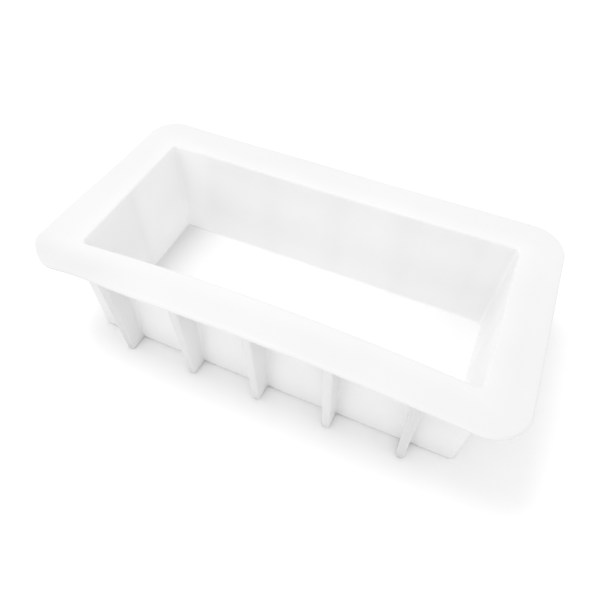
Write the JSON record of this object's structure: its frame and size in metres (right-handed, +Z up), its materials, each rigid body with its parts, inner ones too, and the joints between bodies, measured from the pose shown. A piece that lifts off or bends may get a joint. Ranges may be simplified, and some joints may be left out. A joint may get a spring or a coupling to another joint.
{
  "type": "silicone soap mould",
  "caption": "Open rectangular loaf mould in soft translucent white silicone, with a tapered cavity, a wide flat rounded rim and upright stiffening ribs, for casting a bar of soap.",
  "frame": {"origin": "centre of the underside, on the surface the mould stands on", "axes": "+X along the long side, +Y across to the back long side, +Z up out of the cavity"},
  "size_m": [0.2646, 0.1405, 0.07],
  "materials": {
    "silicone_floor": "translucent white silicone, satin",
    "silicone_walls": "translucent white silicone, satin",
    "silicone_rim": "translucent white silicone, smooth satin",
    "silicone_ribs": "translucent white silicone, satin"
  },
  "bodies": {
    "base": {"floor_panel": "silicone_floor", "front_left_corner_post": "silicone_walls", "front_right_corner_post": "silicone_walls", "back_left_corner_post": "silicone_walls", "back_right_corner_post": "silicone_walls", "rim_front_left_corner": "silicone_rim", "rim_front_right_corner": "silicone_rim", "rim_back_left_corner": "silicone_rim", "rim_back_right_corner": "silicone_rim"},
    "front_side": {"front_wall": "silicone_walls", "rim_front": "silicone_rim", "front_rib_1": "silicone_ribs", "front_rib_2": "silicone_ribs", "front_rib_3": "silicone_ribs", "front_rib_4": "silicone_ribs", "front_rib_5": "silicone_ribs"},
    "back_side": {"back_wall": "silicone_walls", "rim_back": "silicone_rim", "back_rib_1": "silicone_ribs", "back_rib_2": "silicone_ribs", "back_rib_3": "silicone_ribs", "back_rib_4": "silicone_ribs", "back_rib_5": "silicone_ribs"},
    "left_end": {"left_end_wall": "silicone_walls", "rim_left_end": "silicone_rim", "left_end_rib": "silicone_ribs"},
    "right_end": {"right_end_wall": "silicone_walls", "rim_right_end": "silicone_rim", "right_end_rib": "silicone_ribs"}
  },
  "joints": [
    {"name": "front_side_flex", "type": "hinge", "parent": "base", "child": "front_side", "pos_m": [0, -0.0612, 0], "axis": [1, 0, 0], "range_deg": [0, 14], "stiffness_Nm_per_rad": 1.2},
    {"name": "back_side_flex", "type": "hinge", "parent": "base", "child": "back_side", "pos_m": [0, 0.0612, 0], "axis": [-1, 0, 0], "range_deg": [0, 14], "stiffness_Nm_per_rad": 1.2},
    {"name": "left_end_flex", "type": "hinge", "parent": "base", "child": "left_end", "pos_m": [-0.1235, 0, 0], "axis": [0, -1, 0], "range_deg": [0, 9], "stiffness_Nm_per_rad": 1.5},
    {"name": "right_end_flex", "type": "hinge", "parent": "base", "child": "right_end", "pos_m": [0.1235, 0, 0], "axis": [0, 1, 0], "range_deg": [0, 9], "stiffness_Nm_per_rad": 1.5}
  ]
}
